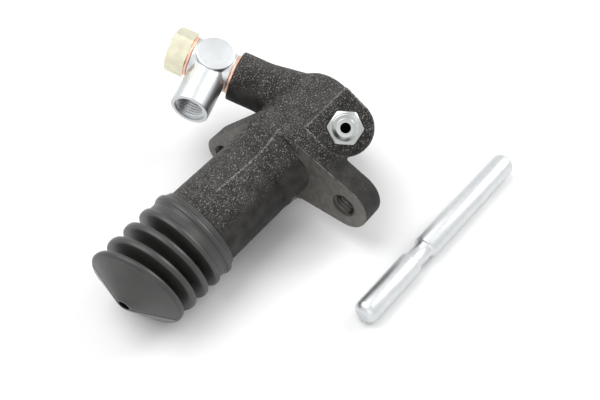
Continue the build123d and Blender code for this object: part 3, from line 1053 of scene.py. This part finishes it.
earThread = {
    "thread": (3.4, 0.62, 1.25, 8.4, 0.25),  # minor radius, depth, pitch, length and wall
    "sunk": 0.16,
}


def buildEarThreads():
    for side in ("right", "left"):
        place = earHole(side) @ Matrix.Translation((-earThread["sunk"] * mm, 0, 0)) @ boreLine
        # the thread's iron is darkened as painted shade inside the hole
        obj = threadedSleeve(side + "EarThread", place, earThread["thread"], shadeDarkTappedIron)
        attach(obj, "housing")


buildEarThreads()
print("ear threads cut")


# fittings

hexagon = {
    "flatSteps": 12,  # points on each flat
    "cutRings": 8,
    "cutAngle": 28,
    "cutReach": 1.6,
    "edgeBreak": 0.08,
}


def hexHead(acrossFlats, low, high, cornerCut):
    # a hexagon with its outer corners turned off and its edges just broken
    h = hexagon
    halfFlat = acrossFlats / 2
    cornerRadius = halfFlat / cos(pi / 6)
    flats = []
    for i in range(6 * h["flatSteps"]):
        inSector = (2 * pi * i / (6 * h["flatSteps"]) + pi / 6) % (pi / 3) - pi / 6
        flats.append(min(halfFlat / cos(inSector), cornerRadius - h["edgeBreak"]))
    fall = cornerCut * tan(radians(h["cutAngle"])) * h["cutReach"]
    bm = bmesh.new()
    rings = [addRing(bm, flats, low), addRing(bm, flats, high - fall)]
    for k in range(1, h["cutRings"] + 1):
        share = k / h["cutRings"]
        limit = cornerRadius - (cornerRadius - halfFlat + cornerCut * 0.5) * share
        rings.append(addRing(bm, [min(r, limit) for r in flats], high - fall * (1 - share)))
    for lower, upper in zip(rings, rings[1:]):
        joinRings(bm, lower, upper)
    bm.faces.new(rings[0][::-1])
    bm.faces.new(rings[-1])
    return outwards(bm)


union = {
    "washerRadius": 7.0,
    "washerHole": 5.05,
    "washer": 1.0,
    "width": 14.5,
    "sleeveRadius": 6.9,
    "barRadius": 6.5,
    "barHalf": 7.2,
    "tubeRadius": 6.65,
    "tubeLength": 20.1,
    "turn": -2.1,
    "boltHole": 5.2,
    "mouthRadius": 5.35,
    "thread": (4.45, 0.5, 1.0, 11.0, 0.19),  # minor radius, depth, pitch, length and wall
    "threadRoom": 0.2,
    "threadStart": (0.75, 0.72),  # below the mouth, of the bore's wall and of the thread
    "portPoint": 2.4,
    "sleeveRound": 0.5,
    "barRound": 0.35,
    "tubeRound": 0.3,
    "washerRound": 0.25,
    "over": 2,  # how far a cutting form stands out
}
unionHeight = union["washer"] + union["width"] / 2
unionTurn = Matrix.Rotation(radians(union["turn"]), 4, "Z")
unionMiddle = inletSeat @ Matrix.Translation((0, 0, unionHeight * mm)) @ unionTurn


def buildUnion():
    u = union
    half = u["width"] / 2
    sleeve = turnedMesh(rounded(pillar(u["sleeveRadius"], -half, half), u["sleeveRound"]))
    obj = meshObject("unionFitting", placed(sleeve, unionMiddle), brightZinc)
    bar = rounded(pillar(u["barRadius"], -u["barHalf"], u["barHalf"]), u["barRound"])
    turnedTool(obj, bar, unionMiddle @ Matrix.Rotation(-pi / 2, 4, "X"), brightZinc, "UNION")
    mouth = u["tubeLength"]
    tube = rounded(pillar(u["tubeRadius"], 0, mouth), u["tubeRound"])
    tubePlace = unionMiddle @ Matrix.Rotation(pi / 2, 4, "Y")
    turnedTool(obj, tube, tubePlace, brightZinc, "UNION")
    minor, depth, _, length, _ = u["thread"]
    boreWall = minor + depth + u["threadRoom"]
    wallStart, threadStart = u["threadStart"]
    port = [
        (0, mouth - length - u["portPoint"]),
        (boreWall, mouth - length),
        (boreWall, mouth - wallStart),
        (u["mouthRadius"], mouth),
        (u["mouthRadius"], mouth + u["over"]),
        (0, mouth + u["over"]),
    ]
    turnedTool(obj, port, tubePlace, brightZinc, "DIFFERENCE")
    through = pillar(u["boltHole"], -half - u["over"], half + u["over"])
    turnedTool(obj, through, unionMiddle, brightZinc, "DIFFERENCE")
    shadeByAngle(obj, 30)
    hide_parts("union_fitting")
    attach(obj, "housing")
    threadPlace = tubePlace @ Matrix.Translation((0, 0, (mouth - threadStart) * mm))
    thread = threadedSleeve("pipeThread", threadPlace, u["thread"], brightZinc)
    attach(thread, "housing")
    for name, low in (("gasket_inner", 0), ("gasket_outer", u["washer"] + u["width"])):
        high = low + u["washer"]
        hole, rim = u["washerHole"], u["washerRadius"]
        ring = turnedMesh(rounded([(hole, low), (rim, low), (rim, high), (hole, high)], u["washerRound"]))
        washer = meshObject(name.replace("gasket_", "copper_"), placed(ring, inletSeat), softCopper)
        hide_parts(name)
        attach(washer, "housing")


buildUnion()
print("union and washers made")

bolt = {
    "shank": 4.95,
    "acrossFlats": 14.0,
    "head": 7.0,
    "cornerCut": 1.1,
    "reach": 12.0,
    "tipCut": 0.8,
    "neck": 4.1,
    "neckEnds": (2.0, 2.8),
    "intoHead": 0.5,
}


def buildUnionBolt():
    b = bolt
    seat = 2 * union["washer"] + union["width"]
    head = hexHead(b["acrossFlats"], seat, seat + b["head"], b["cornerCut"])
    obj = meshObject("unionBolt", placed(head, inletSeat), yellowZinc)
    full, slim = b["neckEnds"]
    shank = [
        (0, -b["reach"]),
        (b["shank"] - b["tipCut"], -b["reach"]),
        (b["shank"], -b["reach"] + b["tipCut"]),
        (b["shank"], full),
        (b["neck"], slim),
        (b["neck"], seat - slim),
        (b["shank"], seat - full),
        (b["shank"], seat + b["intoHead"]),
        (0, seat + b["intoHead"]),
    ]
    turnedTool(obj, shank, inletSeat, yellowZinc, "UNION", 72)
    shadeByAngle(obj, 24)
    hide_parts("union_bolt")
    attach(obj, "housing")


buildUnionBolt()

bleeder = {
    "acrossFlats": 10.0,
    "turn": -18.0,
    "hexLow": 1.4,
    "hexHeight": 5.0,
    "neck": 3.1,
    "bulb": 3.95,
    "nipple": 8.0,
    "bulbHeight": 3.2,
    "mouth": 2.8,
    "drill": 1.6,
    "cornerCut": 0.8,
    "collar": 1.2,
    "collarSteps": (0.25, 0.7),  # above the hexagon: the collar's end and the neck's start
    "bulbSteps": (0.55, 1.2),  # above the bulb's foot: start and end of its full width
    "intoHex": (1.0, 0.5),  # how high in the hexagon the nipple starts and the stem ends
    "rounding": 0.22,
    "thread": 3.95,
    "tip": 13.0,
    "tipSteps": (-1.2, 0.2, 4.5, 5.5),  # from the tip: both ends of its cone and of the stem's shoulder
    "tipRadius": 1.5,
    "stem": 2.9,
}


def buildBleeder():
    b = bleeder
    hexTop = b["hexLow"] + b["hexHeight"]
    top = hexTop + b["nipple"]
    bulbLow = top - b["bulbHeight"]
    head = hexHead(b["acrossFlats"], b["hexLow"], hexTop, b["cornerCut"])
    turned = bleederSeat @ Matrix.Rotation(radians(b["turn"]), 4, "Z")
    obj = meshObject("bleederScrew", placed(head, turned), bleederZinc)
    foot, stemTop = (b["hexLow"] + step for step in b["intoHex"])
    collarEnd, neckStart = (hexTop + step for step in b["collarSteps"])
    fullFrom, fullTo = (bulbLow + step for step in b["bulbSteps"])
    coneFrom, coneTo, stemEnd, threadEnd = (step - b["tip"] for step in b["tipSteps"])
    collar = b["neck"] + b["collar"]
    nipple = rounded([
        (0, foot),
        (collar, foot),
        (collar, collarEnd),
        (b["neck"], neckStart),
        (b["neck"], bulbLow),
        (b["bulb"], fullFrom),
        (b["bulb"], fullTo),
        (b["mouth"], top),
        (0, top),
    ], b["rounding"])
    turnedTool(obj, nipple, bleederSeat, bleederZinc, "UNION", 72)
    stem = [
        (0, coneFrom),
        (b["tipRadius"], coneFrom),
        (b["stem"], coneTo),
        (b["stem"], stemEnd),
        (b["thread"], threadEnd),
        (b["thread"], stemTop),
        (0, stemTop),
    ]
    turnedTool(obj, stem, bleederSeat, bleederZinc, "UNION", 64)
    drill = pillar(b["drill"], b["hexLow"], top + 1)
    # painted shade: the drilled hole's walls are near black
    turnedTool(obj, drill, bleederSeat, drillShade, "DIFFERENCE", 48)
    shadeByAngle(obj, 26)
    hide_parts("bleeder_screw")
    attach(obj, "bleeder")


buildBleeder()

rod = {
    "radius": 4.0,
    "length": 81.5,
    "neckRadius": 3.05,
    "neckStart": 26.0,
    "neckLength": 6.6,
    "besideY": 53.9,
    "nearX": 22.8,
    "turn": -2.0,
    "endRound": 2.8,
    "endSteps": 8,
    # a radius, what is added to it, and the distance past the neck's end
    "shoulder": [
        ("radius", 0, 0.9),
        ("radius", -0.12, 0.5),
        ("neckRadius", 0.15, 0.05),
        ("neckRadius", 0, -0.25),
    ],
}


def buildPushRod():
    r = rod
    end = []
    for k in range(r["endSteps"] + 1):
        a = radians(90 * k / r["endSteps"])
        end.append((r["radius"] - r["endRound"] + r["endRound"] * sin(a), r["endRound"] * (1 - cos(a))))
    neckEnd = r["neckStart"] + r["neckLength"]
    shoulder = [(r[key] + more, past) for key, more, past in r["shoulder"]]
    outline = [(0, 0)] + end
    outline += [(x, r["neckStart"] - past) for x, past in shoulder]
    outline += [(x, neckEnd + past) for x, past in shoulder[::-1]]
    outline += [(x, r["length"] - z) for x, z in end[::-1]] + [(0, r["length"])]
    bm = turnedMesh(outline)
    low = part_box("push_rod")[0]
    place = Matrix.Translation((r["nearX"] * mm, r["besideY"] * mm, low.z + r["radius"] * mm))
    place = place @ Matrix.Rotation(radians(r["turn"]), 4, "Z") @ Matrix.Rotation(-pi / 2, 4, "Y")
    obj = meshObject("pushRod", placed(bm, place), brightZinc)
    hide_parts("push_rod")
    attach(obj, "housing")


buildPushRod()
print("bolt, bleeder and rod made")


# inner pieces keep their CAD solids

innerFinish = {
    "piston": pistonAlloy,
    "piston_cup": bootRubber,
    "return_spring": springSteel,
    "valve_plate": brightZinc,
    "valve_spring": springSteel,
}
for name, finish in innerFinish.items():
    node = frame["nodes"][name]
    node.data.materials.clear()
    node.data.materials.append(finish)
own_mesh(frame["nodes"]["return_spring"])


# floor, light and camera

studio = {
    "floorColour": (0.93, 0.93, 0.93),
    "floorSize": 3.0,
    "floorGap": 0.05,
    "whiteFrom": 0.28,
    "whiteTo": 0.60,
    "key": {"place": (0.10, -0.35, 0.75), "size": 0.8, "watts": 4.4},
    "fill": {"place": (0.65, 0.45, 0.40), "size": 0.7, "watts": 0.8},
    "rim": {"place": (-0.55, 0.25, 0.45), "size": 0.4, "watts": 2.4},
    "skyDiffuse": 0.62,
}


def whiteForCamera(tree, plain, white, share=1.0):
    # the background shows white to the camera and in reflections
    path = tree.nodes.new("ShaderNodeLightPath")
    seen = mathNode(tree, "ADD", path.outputs["Is Camera Ray"], path.outputs["Is Transmission Ray"])
    seen = mathNode(tree, "ADD", seen, path.outputs["Is Glossy Ray"], clamp=True)
    mix = tree.nodes.new("ShaderNodeMixShader")
    tree.links.new(product(tree, seen, share), mix.inputs["Fac"])
    tree.links.new(plain, mix.inputs[1])
    tree.links.new(white, mix.inputs[2])
    return mix.outputs["Shader"]


def buildFloor():
    s = studio
    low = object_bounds()[0][2]
    level = low - s["floorGap"] * mm
    half = s["floorSize"]
    bm = bmesh.new()
    corners = [(-half, -half), (half, -half), (half, half), (-half, half)]
    bm.faces.new([bm.verts.new((x, y, level)) for x, y in corners])
    material, tree, shader = newMaterial("paleFloor", {"Roughness": 0.9, "Specular IOR Level": 0.1})
    shader.inputs["Base Color"].default_value = (*s["floorColour"], 1)
    # away from the object the floor fades into the white background
    away = addNode(tree, "ShaderNodeVectorMath", operation="LENGTH")
    tree.links.new(objectCoordinates(tree), away.inputs[0])
    slope = 1 / (s["whiteTo"] - s["whiteFrom"])
    share = stepFrom(tree, away.outputs["Value"], s["whiteFrom"], slope)
    glow = addNode(tree, "ShaderNodeEmission", Color=(1, 1, 1, 1), Strength=1.0)
    seen = whiteForCamera(tree, shader.outputs["BSDF"], glow.outputs["Emission"], share)
    tree.links.new(seen, tree.nodes["Material Output"].inputs["Surface"])
    floor = meshObject("floor", bm, material)


def buildLights():
    for name in ("key", "fill", "rim"):
        lamp = studio[name]
        data = bpy.data.lights.new(name, "AREA")
        data.shape = "DISK"
        data.size = lamp["size"]
        data.energy = lamp["watts"]
        obj = bpy.data.objects.new(name, data)
        scene.collection.objects.link(obj)
        obj.location = lamp["place"]
        obj.rotation_euler = (-Vector(lamp["place"])).to_track_quat("-Z", "Y").to_euler()
    world = bpy.data.worlds.new("studio")
    scene.world = world
    world.use_nodes = True
    tree = world.node_tree
    plain = tree.nodes["Background"]
    white = tree.nodes.new("ShaderNodeBackground")
    for sky, strength in ((plain, studio["skyDiffuse"]), (white, 1.0)):
        sky.inputs["Color"].default_value = (1, 1, 1, 1)
        sky.inputs["Strength"].default_value = strength
    seen = whiteForCamera(tree, plain.outputs[0], white.outputs[0])
    tree.links.new(seen, tree.nodes["World Output"].inputs[0])


view = {
    "place": (0.15695, 0.13322, 0.22710),
    "right": (-0.6078, 0.7941, 0.0),
    "up": (-0.6083, -0.4656, 0.6428),
    "back": (0.5104, 0.3907, 0.7660),
    "lens": 56.58,
    "sensor": 36,
    "clipStart": 0.01,
}


def buildCamera():
    data = bpy.data.cameras.new("view")
    data.sensor_width = view["sensor"]
    data.sensor_fit = "HORIZONTAL"
    data.lens = view["lens"]
    data.clip_start = view["clipStart"]
    camera = bpy.data.objects.new("view", data)
    scene.collection.objects.link(camera)
    turn = Matrix((view["right"], view["up"], view["back"])).transposed().to_4x4()
    camera.matrix_world = Matrix.Translation(view["place"]) @ turn
    scene.camera = camera


buildFloor()
buildLights()
buildCamera()
scene.view_settings.view_transform = "Standard"
print("stage set")
